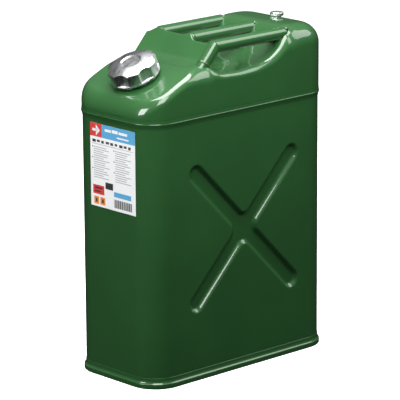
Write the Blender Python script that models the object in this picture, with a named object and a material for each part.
"""Steel fuel can of the twenty litre class, as separate sheet, rod and screw pieces.

X runs along the can: the filler cap is at -X and the vent at +X. Y runs across it and Z is up.
The origin is on the floor, under the middle of the can.
"""
import bpy
import bmesh
from math import atan2, ceil, cos, pi, radians, sin, sqrt
from mathutils import Matrix, Vector
from mathutils.geometry import delaunay_2d_cdt

# ---------------------------------------------------------------- driving dimensions (metres)
GAP = 0.0003                # kept between pieces that touch
SHEET = 0.0009              # steel sheet

BODY_LENGTH = 0.3444
BODY_WIDTH = 0.1686
BODY_CORNER = 0.0393        # radius of the body's corners in plan
BODY_BOTTOM = 0.0035
BODY_TOP = 0.3862
SEAM_HALF = 0.0022          # half width of the upright weld on the rear face
SEAM_RISE = 0.0007

COVER_OVERHANG = 0.0012     # the cover's skirt passes outside the body by this much
SKIRT_BOTTOM = 0.3846
BEAD_OUT = 0.0009           # the seam bead under the skirt stands out past it by this much
BEAD_HEIGHT = 0.0078

CHIME_HEIGHT = 0.0080       # rolled seam round the foot
CHIME_OVERHANG = 0.0032
CHIME_FLARE = 0.0075        # the seam's upper lip leans back to the body over this height
PAN_HEIGHT = 0.0100         # the bottom pan's floor is raised this far off the ground
PAN_CORNER = 0.0040

EMBOSS_X = 0.0030           # centre of the crossed grooves on each broad side
EMBOSS_Z = 0.2055
EMBOSS_HALF_LENGTH = 0.0920     # from the centre to an arm's end centre, along X
EMBOSS_HALF_HEIGHT = 0.0930
EMBOSS_DEPTH = 0.0055
EMBOSS_LIP_HALF = 0.0150    # half width of an arm at the sheet's face
EMBOSS_FLOOR_HALF = 0.0075  # half width of an arm at the groove's floor
EMBOSS_WAIST = 0.0250       # from the centre to the lip, between two arms

POUR_ANGLE = radians(24.0)  # slope of the panel that carries the filler
FILLER_X = -0.1228          # where the filler's axis passes through that panel
VENT_X = 0.1495

NECK_RADIUS = 0.0260
NECK_BORE = 0.0240
NECK_HEIGHT = 0.0215        # above the panel, along the filler's axis
NECK_DROP = 0.0060          # the neck's tail below the panel
NECK_WELD_RADIUS = 0.0300
CAP_RADIUS = 0.0360
CAP_BORE = 0.0283
CAP_LIFT = 0.0050           # skirt's lower edge above the panel
CAP_SPACE = 0.0196          # height of the space inside the cap
CAP_LOBES = 6
CAP_POCKET_RADIUS = 0.0206  # radius of a finger pocket in the cap's wall
CAP_POCKET_REACH = 0.0524   # from the cap's axis to a pocket's centre
CAP_WALL = 0.0185           # height of the wall, up to the domed top
CAP_DOME = 0.0052           # rise of the dome from the wall to the disc
CAP_FOOT = 0.0026           # plain ring below the pockets
CAP_DISC = 0.0140           # radius of the low disc in the middle of the cap's top
CAP_TURN = radians(-13.0)    # the screwed-down cap's lobes are turned by this much
THREAD_PITCH = 0.0060
THREAD_DEPTH = 0.0014
THREAD_WIDTH = 0.0020
THREAD_START = 0.0100       # height where the neck's thread begins
GASKET_THICK = 0.0022

BAR_RADIUS = 0.0094
BAR_SPACING = 0.0640        # between the handle's bars, across the can
BAR_HEIGHT = 0.4690         # height of their axes
BAR_FRONT_X = -0.0350       # where a bar meets its front post
BAR_REAR_X = 0.1035         # the bars run into the hump's face, which trims them
POST_RADIUS = 0.0086
POST_FOOT = (-0.0580, 0.4440)   # x and z of the near post's foot, on its axis
INNER_POST_BACK = 0.0132    # the other posts stand this far behind the near post's plane
WEB_SHEET = 0.0008
WEB_BACK = 0.0035           # the web's face is this far behind the plane of the post's axis
WEB_NEAR = -0.0545          # the web's edges, across the can
WEB_FAR = 0.0815
WEB_RIDGE = 0.4712          # height of the web's top edge outside the far two bars
WEB_RIDGE_FAR = 0.4758      # and between them
WEB_PEAK = 0.4782           # and in front of the centre and far bars
WEB_RISE_REACH = 0.0180     # the rise dies out this far to each side of a bar
BEAD_X = 0.1000             # middle of the weld bead where a bar meets the hump
BEAD_SIZE = (0.0036, 0.0032, 0.0032)    # half sizes of the bead, which straddles the joint
BEAD_TILT = radians(40.0)   # from the bar's top round towards the near side

VENT_RADIUS = 0.0098
VENT_HEIGHT = 0.0062
VENT_NECK_RADIUS = 0.0066
VENT_BORE = 0.0045
VENT_LIFT = 0.0008          # the vent cap's lower edge above the hump
VENT_CAP_TOP = 0.0010       # thickness of the vent cap's top
VENT_SEAT = 0.0026          # from the breather's rim up to the vent cap's top

LABEL_WIDTH = 0.0934
LABEL_BOTTOM = 0.2480
LABEL_TOP = 0.3670
LABEL_Y = -0.0038

# The cover's middle line: (x, z) from the front edge over the filler panel and its crest, down
# into the hand recess and up the rear hump.
COVER_LINE = (
    (-0.1734, 0.4050), (-0.1500, 0.4153), (-0.1000, 0.4375), (-0.0800, 0.4440), (-0.0660, 0.4463),
    (-0.0580, 0.4466), (-0.0530, 0.4440), (-0.0480, 0.4400), (-0.0420, 0.4368), (-0.0300, 0.4340),
    (-0.0050, 0.4327),
    (0.0250, 0.4345), (0.0560, 0.4420), (0.0750, 0.4525), (0.0870, 0.4640), (0.0965, 0.4735),
    (0.1030, 0.4778), (0.1150, 0.4793), (0.1400, 0.4787), (0.1734, 0.4768))
# Radius of the cover's edge along the same line.
EDGE_LINE = (
    (-0.1734, 0.0200), (-0.1450, 0.0110), (-0.1100, 0.0120), (-0.0620, 0.0240), (-0.0450, 0.0120),
    (-0.0200, 0.0090), (0.0350, 0.0100), (0.0770, 0.0130), (0.0900, 0.0200), (0.1000, 0.0300),
    (0.1734, 0.0280))

GREEN = (0.012, 0.090, 0.030)
ALUMINIUM = (0.78, 0.78, 0.80)
RUBBER = (0.015, 0.015, 0.016)
PAPER = (0.80, 0.82, 0.84)

CORNER_STEPS = 8            # facets in a quarter turn of the body's corners


# ---------------------------------------------------------------- scene and materials
def clear_scene():
    for item in list(bpy.data.objects):
        bpy.data.objects.remove(item)


def material(name, colour, roughness, metallic):
    mat = bpy.data.materials.new(name)
    mat.use_nodes = True
    shader = mat.node_tree.nodes["Principled BSDF"]
    shader.inputs["Base Color"].default_value = (*colour, 1.0)
    shader.inputs["Roughness"].default_value = roughness
    shader.inputs["Metallic"].default_value = metallic
    mat.diffuse_color = (*colour, 1.0)
    return mat


def add_object(name, bm, mat, smooth_angle=radians(35)):
    """Turn a bmesh into a named object with outward faces."""
    bmesh.ops.recalc_face_normals(bm, faces=bm.faces)
    mesh = bpy.data.meshes.new(name)
    bm.to_mesh(mesh)
    bm.free()
    if mat:
        mesh.materials.append(mat)
    mesh.shade_smooth()
    mesh.set_sharp_from_angle(angle=smooth_angle)
    item = bpy.data.objects.new(name, mesh)
    bpy.context.collection.objects.link(item)
    return item


def cut(item, cutter, operation="DIFFERENCE"):
    """Boolean one object by another, which stays in the scene as a hidden guide."""
    cutter.hide_render = True
    cutter.display_type = "WIRE"
    modifier = item.modifiers.new("cut", "BOOLEAN")
    modifier.operation = operation
    modifier.object = cutter
    modifier.solver = "EXACT"


# ---------------------------------------------------------------- shared geometry
def smooth_line(knots, x):
    """Height of a smooth curve through the knots, with no overshoot between them."""
    if x <= knots[0][0]:
        return knots[0][1]
    if x >= knots[-1][0]:
        return knots[-1][1]
    slopes = []
    for (x0, z0), (x1, z1) in zip(knots, knots[1:]):
        slopes.append((z1 - z0) / (x1 - x0))
    tangents = [slopes[0]]
    for before, after in zip(slopes, slopes[1:]):
        flat = before * after <= 0
        tangents.append(0.0 if flat else 2 * before * after / (before + after))
    tangents.append(slopes[-1])
    for k in range(len(slopes)):
        if x <= knots[k + 1][0]:
            break
    width = knots[k + 1][0] - knots[k][0]
    t = (x - knots[k][0]) / width
    rise = knots[k + 1][1] - knots[k][1]
    ease = t * t * (3 - 2 * t)
    start = t * (1 - t) ** 2
    end = t * t * (t - 1)
    return knots[k][1] + rise * ease + width * (tangents[k] * start + tangents[k + 1] * end)


def rounded_outline(length, width, radius, steps=CORNER_STEPS):
    """Points of a rounded rectangle, anticlockwise from the +X +Y corner."""
    points = []
    for quarter in range(4):
        along = 1 if quarter in (0, 3) else -1
        across = 1 if quarter in (0, 1) else -1
        for step in range(steps + 1):
            angle = pi / 2 * (quarter + step / steps)
            points.append(Vector((
                along * (length / 2 - radius) + radius * cos(angle),
                across * (width / 2 - radius) + radius * sin(angle))))
    return points


def half_width(x, length, width, radius):
    """Half the width of a rounded rectangle at x."""
    past = max(0.0, abs(x) - (length / 2 - radius))
    return width / 2 - radius + sqrt(max(0.0, radius * radius - past * past))


def inside_depth(x, y, length, width, radius):
    """How far a point is inside a rounded rectangle."""
    past_x = abs(x) - (length / 2 - radius)
    past_y = abs(y) - (width / 2 - radius)
    outside = sqrt(max(past_x, 0.0) ** 2 + max(past_y, 0.0) ** 2)
    return radius - outside - min(max(past_x, past_y), 0.0)


def loft(bm, rings, closed=True, capped=False):
    """Join rings of points, each a closed loop, with quads; close the row or cap its ends."""
    rows = [[bm.verts.new(point) for point in ring] for ring in rings]
    pairs = list(zip(rows, rows[1:]))
    if closed:
        pairs.append((rows[-1], rows[0]))
    for low, high in pairs:
        for k in range(len(low)):
            m = (k + 1) % len(low)
            bm.faces.new((low[k], low[m], high[m], high[k]))
    if capped:
        bm.faces.new(rows[0])
        bm.faces.new(rows[-1])
    return rows


def turned(profile, steps):
    """Rings of a profile of (radius, height) points turned about Z."""
    rings = []
    for step in range(steps):
        angle = 2 * pi * step / steps
        rings.append([Vector((r * cos(angle), r * sin(angle), z)) for r, z in profile])
    return rings


def turned_object(name, profile, steps, mat):
    bm = bmesh.new()
    loft(bm, turned(profile, steps))
    return add_object(name, bm, mat)


def add_sheet(name, bm, out, thickness, mat):
    """Give an open surface a thickness on the side away from the direction out."""
    bmesh.ops.recalc_face_normals(bm, faces=bm.faces)
    if sum(face.normal.dot(out) * face.calc_area() for face in bm.faces) < 0:
        bmesh.ops.reverse_faces(bm, faces=bm.faces)
    mesh = bpy.data.meshes.new(name)
    bm.to_mesh(mesh)
    bm.free()
    mesh.materials.append(mat)
    mesh.shade_smooth()
    mesh.set_sharp_from_angle(angle=radians(35))
    item = bpy.data.objects.new(name, mesh)
    bpy.context.collection.objects.link(item)
    solid = item.modifiers.new("sheet", "SOLIDIFY")
    solid.thickness = thickness
    solid.offset = -1
    solid.use_even_offset = True
    return item


def helix_ridge(name, radius, depth, width, pitch, turns, start, sign, mat, steps=40):
    """A screw ridge: outward from the radius for sign +1, inward for -1, tapered at both ends."""
    bm = bmesh.new()
    count = int(ceil(turns * steps))
    root = 0.0006
    rings = []
    for k in range(count + 1):
        taper = min(1.0, 4 * k / steps, 4 * (count - k) / steps)
        reach = sign * depth * (0.15 + 0.85 * taper)
        angle = 2 * pi * k / steps
        height = start + pitch * k / steps
        section = (
            (radius - sign * root, height - width * 0.6),
            (radius + reach, height - width * 0.2),
            (radius + reach, height + width * 0.2),
            (radius - sign * root, height + width * 0.6))
        rings.append([Vector((r * cos(angle), r * sin(angle), z)) for r, z in section])
    loft(bm, rings, closed=False, capped=True)
    return add_object(name, bm, mat)


# ---------------------------------------------------------------- body
def cross_outline(half, steps=5):
    """Outline of the crossed grooves at a given half width of an arm, anticlockwise."""
    slope = atan2(EMBOSS_HALF_HEIGHT, EMBOSS_HALF_LENGTH)
    arms = [slope, pi - slope, pi + slope, -slope]
    reach = sqrt(EMBOSS_HALF_LENGTH ** 2 + EMBOSS_HALF_HEIGHT ** 2)
    points = []
    for k, arm in enumerate(arms):
        tip = Vector((reach * cos(arm), reach * sin(arm)))
        for step in range(steps + 1):
            angle = arm - pi / 2 + pi * step / steps
            points.append(tip + half * Vector((cos(angle), sin(angle))))
        following = arms[(k + 1) % 4]
        spread = (following - arm) % (2 * pi) / 2
        middle = arm + spread
        lip_fillet = (EMBOSS_WAIST * sin(spread) - EMBOSS_LIP_HALF) / (1 - sin(spread))
        centre_reach = (EMBOSS_LIP_HALF + lip_fillet) / sin(spread)
        centre = centre_reach * Vector((cos(middle), sin(middle)))
        fillet = lip_fillet + EMBOSS_LIP_HALF - half
        sweep = pi / 2 - spread
        for step in range(steps + 1):
            angle = middle + pi + sweep - 2 * sweep * step / steps
            points.append(centre + fillet * Vector((cos(angle), sin(angle))))
    shift = Vector((EMBOSS_X, EMBOSS_Z))
    return [point + shift for point in points]


def emboss_loops():
    """Outlines of the groove from its lip to its floor, with the depth of each."""
    loops = []
    for share, depth in ((0.0, 0.0), (0.28, 0.17), (0.72, 0.83), (1.0, 1.0)):
        half = EMBOSS_LIP_HALF + share * (EMBOSS_FLOOR_HALF - EMBOSS_LIP_HALF)
        loops.append((cross_outline(half), depth * EMBOSS_DEPTH))
    return loops


def embossed_panel(bm, left, right, side):
    """A broad side between two uprights, with its grooves pressed in by the emboss depth.

    left and right are lists of existing vertices from the bottom up.
    """
    loops = emboss_loops()
    flat = [vert.co.xz for vert in left] + [vert.co.xz for vert in reversed(right)]
    verts = list(left) + list(reversed(right))
    face_y = left[0].co.y
    edges = [(k, (k + 1) % len(flat)) for k in range(len(flat))]
    for outline, depth in loops:
        first = len(flat)
        count = len(outline)
        for k, point in enumerate(outline):
            flat.append(point)
            verts.append(bm.verts.new((point.x, face_y - side * depth, point.y)))
            edges.append((first + k, first + (k + 1) % count))
    made = delaunay_2d_cdt(flat, edges, [], 1, 1e-7)
    source = [origin[0] for origin in made[3]]
    for face in made[2]:
        corners = [verts[source[k]] for k in face]
        bm.faces.new(corners)


def build_body(mat):
    """The wrapped sheet: an open tube with crossed grooves pressed into both broad sides."""
    bm = bmesh.new()
    skins = []
    for inset in (0.0, SHEET):
        outline = rounded_outline(
            BODY_LENGTH - 2 * inset, BODY_WIDTH - 2 * inset, BODY_CORNER - inset)
        columns = []
        for point in outline:
            heights = (BODY_BOTTOM, BODY_TOP)
            columns.append([bm.verts.new((point.x, point.y, z)) for z in heights])
        skins.append(columns)
        quarter = CORNER_STEPS + 1
        for k in range(len(columns)):
            m = (k + 1) % len(columns)
            if k == quarter - 1:
                embossed_panel(bm, columns[m], columns[k], 1)
            elif k == 3 * quarter - 1:
                embossed_panel(bm, columns[k], columns[m], -1)
            else:
                bm.faces.new((columns[k][0], columns[m][0], columns[m][1], columns[k][1]))
    outer, inner = skins
    for k in range(len(outer)):
        m = (k + 1) % len(outer)
        for end in (0, 1):
            bm.faces.new((outer[k][end], outer[m][end], inner[m][end], inner[k][end]))
    return add_object("body_shell", bm, mat)


def build_body_seam(mat):
    """The upright weld bead that closes the wrapped sheet, on the rear face."""
    bm = bmesh.new()
    face = BODY_LENGTH / 2 + GAP
    section = (
        (0, -SEAM_HALF), (SEAM_RISE, -SEAM_HALF / 2), (SEAM_RISE, SEAM_HALF / 2), (0, SEAM_HALF))
    rings = []
    for z in (CHIME_HEIGHT + CHIME_FLARE + GAP, SKIRT_BOTTOM - BEAD_HEIGHT - 2 * GAP):
        rings.append([Vector((face + out, y, z)) for out, y in section])
    loft(bm, rings, closed=False, capped=True)
    return add_object("body_weld_seam", bm, mat)


def rounded_rings(profile, steps=CORNER_STEPS):
    """Rings round the can's plan, one for each (outset, z) of a section."""
    rings = []
    for outset, z in profile:
        outline = rounded_outline(
            BODY_LENGTH + 2 * outset, BODY_WIDTH + 2 * outset, BODY_CORNER + outset, steps)
        rings.append([Vector((point.x, point.y, z)) for point in outline])
    return rings


def build_chime(mat):
    """The rolled foot seam, which the body's lower edge and the pan's flange stand inside."""
    outer = CHIME_OVERHANG
    inner = -SHEET * 2 - GAP * 3
    flare = CHIME_HEIGHT + CHIME_FLARE
    section = (
        (inner, 0.0), (outer - 0.0012, 0.0), (outer - 0.0003, 0.0006), (outer, 0.0020),
        (outer, CHIME_HEIGHT - 0.0022), (outer - 0.0008, CHIME_HEIGHT - 0.0006),
        (outer - 0.0021, CHIME_HEIGHT + 0.0018), (GAP + 0.0004, flare), (GAP, flare),
        (GAP, BODY_BOTTOM - GAP), (-SHEET * 2 - GAP * 2, BODY_BOTTOM - GAP),
        (inner, BODY_BOTTOM - GAP - 0.0004))
    bm = bmesh.new()
    loft(bm, rounded_rings(section))
    return add_object("bottom_chime", bm, mat)


def build_pan(mat):
    """The dished bottom: a raised floor with a turned-down flange inside the body's edge."""
    bm = bmesh.new()
    side = -SHEET - GAP
    top = PAN_HEIGHT + 0.0040
    section = (
        (side, BODY_BOTTOM), (side, top - PAN_CORNER), (side - 0.0012, top - 0.0012),
        (side - PAN_CORNER, top), (side - 0.0200, top), (side - 0.0230, top - 0.0030),
        (side - 0.0230, top - 0.0030 - SHEET), (side - 0.0200 + 0.0004, top - SHEET),
        (side - PAN_CORNER, top - SHEET), (side - 0.0012 - SHEET * 0.7, top - 0.0012 - SHEET * 0.7),
        (side - SHEET, top - PAN_CORNER), (side - SHEET, BODY_BOTTOM))
    rings = rounded_rings(section)
    rows = [[bm.verts.new(point) for point in ring] for ring in rings]
    upper_rim = 5
    for low, high in zip(rows, rows[1:] + rows[:1]):
        if low is rows[upper_rim]:
            continue
        for k in range(len(low)):
            m = (k + 1) % len(low)
            bm.faces.new((low[k], low[m], high[m], high[k]))
    bm.faces.new(rows[upper_rim])
    bm.faces.new(rows[upper_rim + 1])
    return add_object("bottom_pan", bm, mat)


def build_seam_bead(mat):
    """The bead round the can, under the cover's skirt, that seals it to the body."""
    top = SKIRT_BOTTOM - GAP
    low = top - BEAD_HEIGHT
    out = COVER_OVERHANG + BEAD_OUT
    section = ((GAP, low), (out * 0.9, low + BEAD_HEIGHT * 0.12), (out, low + BEAD_HEIGHT * 0.2),
               (out, low + BEAD_HEIGHT * 0.35), (out * 0.6, top), (GAP, top))
    bm = bmesh.new()
    loft(bm, rounded_rings(section))
    return add_object("cover_seam_bead", bm, mat)


# ---------------------------------------------------------------- top cover
COVER_LENGTH = BODY_LENGTH + 2 * COVER_OVERHANG
COVER_WIDTH = BODY_WIDTH + 2 * COVER_OVERHANG
COVER_CORNER = BODY_CORNER + COVER_OVERHANG


def cover_height(x, y):
    """Height of the cover's outer face, with its rounded edge."""
    radius = smooth_line(EDGE_LINE, x)
    depth = inside_depth(x, y, COVER_LENGTH, COVER_WIDTH, COVER_CORNER)
    depth = min(max(depth, 0.0), radius)
    drop = radius - sqrt(max(0.0, radius ** 2 - (radius - depth) ** 2))
    return smooth_line(COVER_LINE, x) - drop


def cover_stations():
    """Places along X where the cover's cross-section is taken."""
    straight = COVER_LENGTH / 2 - COVER_CORNER
    stations = []
    steps = CORNER_STEPS
    for step in range(steps, -1, -1):
        stations.append(-straight - COVER_CORNER * sin(pi / 2 * step / steps))
    stations += [-0.120, -0.100, -0.084, -0.072, -0.064, -0.058, -0.054, -0.050, -0.045, -0.038,
                 -0.026, -0.006, 0.014, 0.034, 0.050, 0.062, 0.073, 0.081, 0.088, 0.095, 0.101,
                 0.109, 0.120]
    for step in range(steps + 1):
        stations.append(straight + COVER_CORNER * sin(pi / 2 * step / steps))
    return stations


def cover_section(x):
    """Points over the cover at x, from the near skirt's lower edge to the far one's."""
    half = half_width(x, COVER_LENGTH, COVER_WIDTH, COVER_CORNER)
    radius = smooth_line(EDGE_LINE, x)
    arc_steps = 4
    side = []
    for step in range(arc_steps + 1):
        inset = radius * (1 - cos(pi / 2 * step / arc_steps))
        side.append(half - inset * half / (COVER_WIDTH / 2))
    side += [side[-1] * share for share in (0.66, 0.33)]
    across = [-y for y in side] + [0.0] + list(reversed(side))
    section = [Vector((x, -half, SKIRT_BOTTOM))]
    section += [Vector((x, y, cover_height(x, y))) for y in across]
    section.append(Vector((x, half, SKIRT_BOTTOM)))
    return section


def build_cover(mat):
    """The pressed top with its skirt, filler panel, hand recess and rear hump."""
    bm = bmesh.new()
    rows = []
    for x in cover_stations():
        rows.append([bm.verts.new(point) for point in cover_section(x)])
    for low, high in zip(rows, rows[1:]):
        for k in range(len(low) - 1):
            bm.faces.new((low[k], low[k + 1], high[k + 1], high[k]))
    bm.faces.new(rows[0])
    bm.faces.new(rows[-1])
    item = add_sheet("top_cover", bm, Vector((0, 0, 1)), SHEET, mat)
    filler_hole = plug("filler_hole", NECK_RADIUS + GAP, 0.012, mat)
    filler_hole.matrix_world = filler_frame()
    cut(item, filler_hole)
    vent_hole = plug("vent_hole", VENT_NECK_RADIUS + GAP, 0.012, mat)
    vent_hole.matrix_world = vent_frame()
    cut(item, vent_hole)
    return item


def plug(name, radius, half_height, mat, steps=40):
    bm = bmesh.new()
    bmesh.ops.create_cone(
        bm, cap_ends=True, segments=steps, radius1=radius, radius2=radius, depth=2 * half_height)
    return add_object(name, bm, mat)


# ---------------------------------------------------------------- filler and vent
def filler_frame():
    """Frame on the filler's axis, with its origin where the axis meets the panel."""
    height = smooth_line(COVER_LINE, FILLER_X)
    return Matrix.Translation((FILLER_X, 0, height)) @ Matrix.Rotation(-POUR_ANGLE, 4, "Y")


def vent_frame():
    return Matrix.Translation((VENT_X, 0, smooth_line(COVER_LINE, VENT_X)))


CAP_STEPS = 40
SKIRT_STEPS = 78            # 13 to each lobe, so that facets end at a pocket's edges
VENT_STEPS = 24


def build_neck(mat):
    """The filler's mouth, with an outside screw thread."""
    profile = (
        (NECK_BORE, -NECK_DROP), (NECK_RADIUS, -NECK_DROP), (NECK_RADIUS, NECK_HEIGHT - 0.0006),
        (NECK_RADIUS - 0.0006, NECK_HEIGHT), (NECK_BORE + 0.0006, NECK_HEIGHT),
        (NECK_BORE, NECK_HEIGHT - 0.0006))
    neck = turned_object("filler_neck", profile, CAP_STEPS, mat)
    neck.matrix_world = filler_frame()
    ridge = helix_ridge(
        "neck_thread", NECK_RADIUS, THREAD_DEPTH, THREAD_WIDTH, THREAD_PITCH, 1.6,
        THREAD_START, 1, mat)
    ridge.matrix_world = filler_frame()
    cut(neck, ridge, "UNION")
    return neck


def build_neck_weld(mat):
    """The weld ring that seats the neck on the panel."""
    foot = GAP + 0.0002
    profile = (
        (NECK_RADIUS + GAP, foot), (NECK_WELD_RADIUS, foot), (NECK_WELD_RADIUS, 0.0012),
        (NECK_RADIUS + 0.0020, 0.0026), (NECK_RADIUS + GAP, 0.0030))
    ring = turned_object("filler_neck_weld", profile, CAP_STEPS, mat)
    ring.matrix_world = filler_frame()
    return ring


def pocket_radius(angle):
    """Radius of the cap's wall at an angle round it, where a finger pocket may cut it."""
    sector = 2 * pi / CAP_LOBES
    away = angle % sector - sector / 2
    clear = CAP_POCKET_RADIUS ** 2 - (CAP_POCKET_REACH * sin(away)) ** 2
    if clear <= 0:
        return CAP_RADIUS
    return CAP_POCKET_REACH * cos(away) - sqrt(clear)


def dome_height(radius):
    """Height of the cap's domed top at a distance from its axis."""
    share = (radius - CAP_DISC) / (CAP_RADIUS - CAP_DISC)
    return CAP_LIFT + CAP_WALL + CAP_DOME * (1 - share ** 1.7)


def build_cap(mat):
    """The screw cap: wall with finger pockets, domed top with a low disc, inside thread."""
    bottom = CAP_LIFT
    foot = bottom + CAP_FOOT
    wall = bottom + CAP_WALL
    bevel = 0.0006
    plain = ((CAP_RADIUS - bevel, bottom), (CAP_RADIUS, bottom + bevel), (CAP_RADIUS, foot))
    rings = [ring_points(radius, height, SKIRT_STEPS) for radius, height in plain]
    cut_rows = [(CAP_RADIUS, foot + GAP), (CAP_RADIUS, wall - 0.0008)]
    for inset in (0.0004, 0.0014, 0.0045, 0.0090, 0.0150):
        cut_rows.append((CAP_RADIUS - inset, dome_height(CAP_RADIUS - inset)))
    for radius, height in cut_rows:
        ring = []
        for step in range(SKIRT_STEPS):
            angle = 2 * pi * step / SKIRT_STEPS
            reach = min(radius, pocket_radius(angle))
            rise = dome_height(reach) if radius < CAP_RADIUS else height
            ring.append(Vector((reach * cos(angle), reach * sin(angle), rise)))
        rings.append(ring)
    crown = dome_height(CAP_DISC)
    for radius, height in (
            (CAP_DISC + 0.0008, crown), (CAP_DISC, crown - 0.0002),
            (CAP_DISC - 0.0010, crown - 0.0010)):
        rings.append(ring_points(radius, height, SKIRT_STEPS))
    bm = bmesh.new()
    rows = loft(bm, rings, closed=False)
    bm.faces.new(rows[-1])
    under = bottom + CAP_SPACE
    inner = [ring_points(CAP_BORE, height, SKIRT_STEPS) for height in (bottom, under)]
    inner_rows = loft(bm, inner, closed=False)
    bm.faces.new(inner_rows[-1])
    for k in range(SKIRT_STEPS):
        m = (k + 1) % SKIRT_STEPS
        bm.faces.new((rows[0][k], rows[0][m], inner_rows[0][m], inner_rows[0][k]))
    cap = add_object("filler_cap", bm, mat)
    cap.matrix_world = filler_frame() @ Matrix.Rotation(CAP_TURN, 4, "Z")
    ridge = helix_ridge(
        "cap_thread", CAP_BORE, THREAD_DEPTH, THREAD_WIDTH, THREAD_PITCH, 1.4,
        THREAD_START + THREAD_PITCH / 2, -1, mat)
    ridge.matrix_world = filler_frame()
    cut(cap, ridge, "UNION")
    return cap


def ring_points(radius, height, steps):
    points = []
    for step in range(steps):
        angle = 2 * pi * step / steps
        points.append(Vector((radius * cos(angle), radius * sin(angle), height)))
    return points


def build_cap_gasket(mat):
    """The flat seal that the cap presses on the mouth's rim."""
    low = NECK_HEIGHT + GAP
    high = low + GASKET_THICK
    inner = NECK_BORE - 0.0030
    outer = CAP_BORE - GAP
    profile = ((inner, low), (outer, low), (outer, high), (inner, high))
    gasket = turned_object("cap_gasket", profile, CAP_STEPS, mat)
    gasket.matrix_world = filler_frame()
    return gasket


def build_vent_neck(mat):
    """The threaded breather tube in the rear hump."""
    top = VENT_HEIGHT - VENT_SEAT
    tail = -0.0072
    profile = (
        (VENT_BORE, tail), (VENT_NECK_RADIUS, tail), (VENT_NECK_RADIUS, top), (VENT_BORE, top))
    neck = turned_object("vent_neck", profile, VENT_STEPS, mat)
    neck.matrix_world = vent_frame()
    return neck


def build_vent_ring(mat):
    """The weld ring that holds the breather from inside the hump."""
    fall = 0.0048               # the hump's face curves down by this much across the ring
    top = -SHEET - 2 * GAP - fall
    inner = VENT_NECK_RADIUS + GAP
    profile = (
        (inner, top - 0.0012), (inner + 0.0022, top - 0.0012), (inner + 0.0030, top), (inner, top))
    ring = turned_object("vent_neck_ring", profile, VENT_STEPS, mat)
    ring.matrix_world = vent_frame()
    return ring


def build_vent_cap(mat):
    """The small knurled cap over the breather."""
    top = VENT_HEIGHT
    bottom = VENT_LIFT
    steps = 40
    bore = VENT_NECK_RADIUS + 0.0005
    bm = bmesh.new()
    rings = []
    for height, inset, knurl in (
            (bottom, 0.0002, 1.0), (top - 0.0014, 0.0, 1.0), (top - 0.0004, 0.0012, 0.3),
            (top, 0.0030, 0.0)):
        ring = []
        for step in range(steps):
            angle = 2 * pi * step / steps
            groove = 0.0003 * knurl * (step % 2)
            radius = VENT_RADIUS - inset - groove
            ring.append(Vector((radius * cos(angle), radius * sin(angle), height)))
        rings.append(ring)
    rows = loft(bm, rings, closed=False)
    bm.faces.new(rows[-1])
    inner_rows = loft(
        bm, [ring_points(bore, bottom, steps), ring_points(bore, top - VENT_CAP_TOP, steps)],
        closed=False)
    bm.faces.new(inner_rows[-1])
    for k in range(steps):
        m = (k + 1) % steps
        bm.faces.new((rows[0][k], rows[0][m], inner_rows[0][m], inner_rows[0][k]))
    cap = add_object("vent_cap", bm, mat)
    cap.matrix_world = vent_frame()
    return cap


def build_vent_gasket(mat):
    """The small flat seal under the vent cap."""
    low = VENT_HEIGHT - VENT_SEAT + GAP
    high = VENT_HEIGHT - VENT_CAP_TOP - GAP
    inner = VENT_BORE - 0.0012
    outer = VENT_NECK_RADIUS + 0.0001
    profile = ((inner, low), (outer, low), (outer, high), (inner, high))
    gasket = turned_object("vent_gasket", profile, VENT_STEPS, mat)
    gasket.matrix_world = vent_frame()
    return gasket


# ---------------------------------------------------------------- carrying handle
BAR_STEPS = 20
BARS = {"near": -BAR_SPACING, "centre": 0.0, "far": BAR_SPACING}


def cover_block(name):
    """Guide: everything below the cover's outer face, raised by the usual gap."""
    bm = bmesh.new()
    rows = []
    for x in cover_stations():
        section = cover_section(x)
        rows.append([bm.verts.new(point + Vector((0, 0, GAP))) for point in section])
    for low, high in zip(rows, rows[1:]):
        for k in range(len(low)):
            m = (k + 1) % len(low)
            bm.faces.new((low[k], low[m], high[m], high[k]))
    bm.faces.new(rows[0])
    bm.faces.new(rows[-1])
    return add_object(name, bm, None)


def rod(name, ends, cuts, radius, mat, steps=BAR_STEPS):
    """A round rod between two points in an XZ plane, each end cut square to its own direction."""
    along = (ends[1] - ends[0]).normalized()
    side = Vector((0, 1, 0))
    lift = along.cross(side)
    rings = []
    for point, plane in zip(ends, cuts):
        ring = []
        for step in range(steps):
            angle = 2 * pi * (step + 0.5) / steps
            offset = radius * (cos(angle) * side + sin(angle) * lift)
            offset -= along * (offset.dot(plane) / along.dot(plane))
            ring.append(point + offset)
        rings.append(ring)
    bm = bmesh.new()
    loft(bm, rings, closed=False, capped=True)
    return add_object(name, bm, mat)


def post_line():
    """Foot, elbow and direction of the near post's axis, and the normal of its plane."""
    foot = Vector((POST_FOOT[0], 0, POST_FOOT[1]))
    elbow = Vector((BAR_FRONT_X, 0, BAR_HEIGHT))
    along = (elbow - foot).normalized()
    return foot, elbow, along, Vector((-along.z, 0, along.x))


def web_x(height, back):
    """X on a plane parallel to the post's, at a height and at a distance behind it."""
    foot, _, _, normal = post_line()
    rise = height - foot.z
    return foot.x + (rise * normal.z + back) / -normal.x


def build_bars(mat, block):
    """Three bars, each mitred to its own front post; the inner posts stand behind the web."""
    foot, elbow, along, _ = post_line()
    forward = Vector((1, 0, 0))
    mitre = (along + forward).normalized()
    for name, y in BARS.items():
        shift = Vector((0, y, 0))
        rear = Vector((BAR_REAR_X, 0, BAR_HEIGHT)) + shift
        if name != "near":
            shift.x = web_x(BAR_HEIGHT, INNER_POST_BACK) - elbow.x
        bar = rod("handle_bar_" + name, (elbow + shift + forward * GAP, rear),
                  (mitre, forward), BAR_RADIUS, mat)
        cut(bar, block)
        below = foot - along * 0.02
        post = rod("handle_post_" + name, (below + shift, elbow + shift),
                   (along, mitre), POST_RADIUS, mat)
        cut(post, block)


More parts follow.
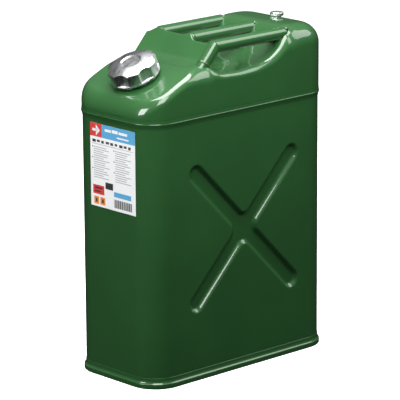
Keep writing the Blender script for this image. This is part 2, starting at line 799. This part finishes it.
def ridge_height(y):
    """Height of the web's top edge, which rises in front of the centre and far bars."""
    away = min(abs(y), abs(y - BAR_SPACING))
    share = cos(pi / 2 * min(away / WEB_RISE_REACH, 1.0)) ** 2
    ridge = WEB_RIDGE_FAR if 0 < y < BAR_SPACING else WEB_RIDGE
    return ridge + (WEB_PEAK - ridge) * share


def web_profile(y):
    """Points up the web's face at y and over its rounded top edge."""
    ridge = ridge_height(y)
    bend = 0.0024
    low = 0.4340
    points = []
    for step in range(5):
        height = low + (ridge - bend - low) * step / 4
        points.append((web_x(height, WEB_BACK), height))
    turn = web_x(ridge, WEB_BACK)
    points.append((turn - 0.0010, ridge - 0.0008))
    points.append((turn + 0.0003, ridge))
    return [Vector((x, y, z)) for x, z in points]


def build_web(mat, block):
    """The pressed web that closes the front of the hand recess, ahead of the inner posts."""
    steps = 26
    bm = bmesh.new()
    rows = []
    for step in range(steps + 1):
        y = WEB_NEAR + (WEB_FAR - WEB_NEAR) * step / steps
        rows.append([bm.verts.new(point) for point in web_profile(y)])
    for low, high in zip(rows, rows[1:]):
        for k in range(len(low) - 1):
            bm.faces.new((low[k], high[k], high[k + 1], low[k + 1]))
    web = add_sheet("handle_web", bm, Vector((-1, 0, 1)), WEB_SHEET, mat)
    cut(web, block)


def build_post_weld(mat, block):
    """The weld collar round the near post's foot."""
    foot, _, along, _ = post_line()
    middle = foot + along * 0.0020 + Vector((0, BARS["near"], 0))
    inner = POST_RADIUS + GAP
    outer = POST_RADIUS + 0.0018
    profile = ((inner, -0.0050), (outer, -0.0050), (outer, 0.0006), (inner + 0.0004, 0.0020),
               (inner, 0.0020))
    collar = turned_object("handle_post_weld", profile, 24, mat)
    tilt = atan2(along.x, along.z)
    collar.matrix_world = Matrix.Translation(middle) @ Matrix.Rotation(tilt, 4, "Y")
    cut(collar, block)


def build_bar_welds(mat, block):
    """A weld bead over the joint of each bar with the hump."""
    for name, y in BARS.items():
        bm = bmesh.new()
        bmesh.ops.create_uvsphere(bm, u_segments=14, v_segments=8, radius=1.0)
        bmesh.ops.scale(bm, vec=BEAD_SIZE, verts=bm.verts)
        reach = BAR_RADIUS - 0.0008
        bmesh.ops.translate(bm, verts=bm.verts, vec=(
            BEAD_X, y - reach * sin(BEAD_TILT), BAR_HEIGHT + reach * cos(BEAD_TILT)))
        bead = add_object("handle_weld_" + name, bm, mat)
        cut(bead, block)
        start = Vector((BEAD_X - 0.0100, y, BAR_HEIGHT))
        end = Vector((BEAD_X + 0.0100, y, BAR_HEIGHT))
        along = Vector((1, 0, 0))
        bar = rod("bar_space_" + name, (start, end), (along, along), BAR_RADIUS + GAP, None)
        cut(bead, bar)


# ---------------------------------------------------------------- label
def build_label(mat):
    bm = bmesh.new()
    face = -BODY_LENGTH / 2 - GAP
    middle = (LABEL_TOP + LABEL_BOTTOM) / 2
    size = Vector((0.0002, LABEL_WIDTH, LABEL_TOP - LABEL_BOTTOM))
    bmesh.ops.create_cube(bm, size=1.0)
    bmesh.ops.scale(bm, vec=size, verts=bm.verts)
    bmesh.ops.translate(bm, vec=(face - size.x / 2, LABEL_Y, middle), verts=bm.verts)
    return add_object("front_label", bm, mat)


# ---------------------------------------------------------------- assembly
def build():
    clear_scene()
    paint = material("green_gloss_paint", GREEN, 0.18, 0.0)
    metal = material("aluminium", ALUMINIUM, 0.22, 1.0)
    rubber = material("black_rubber", RUBBER, 0.6, 0.0)
    paper = material("label_film", PAPER, 0.35, 0.0)
    build_body(paint)
    build_body_seam(paint)
    build_seam_bead(paint)
    build_chime(paint)
    build_pan(paint)
    build_cover(paint)
    build_neck(metal)
    build_neck_weld(paint)
    build_cap(metal)
    build_cap_gasket(rubber)
    build_vent_neck(paint)
    build_vent_ring(paint)
    build_vent_cap(metal)
    build_vent_gasket(rubber)
    block = cover_block("cover_block")
    build_bars(paint, block)
    build_web(paint, block)
    build_post_weld(paint, block)
    build_bar_welds(paint, block)
    build_label(paper)


build()
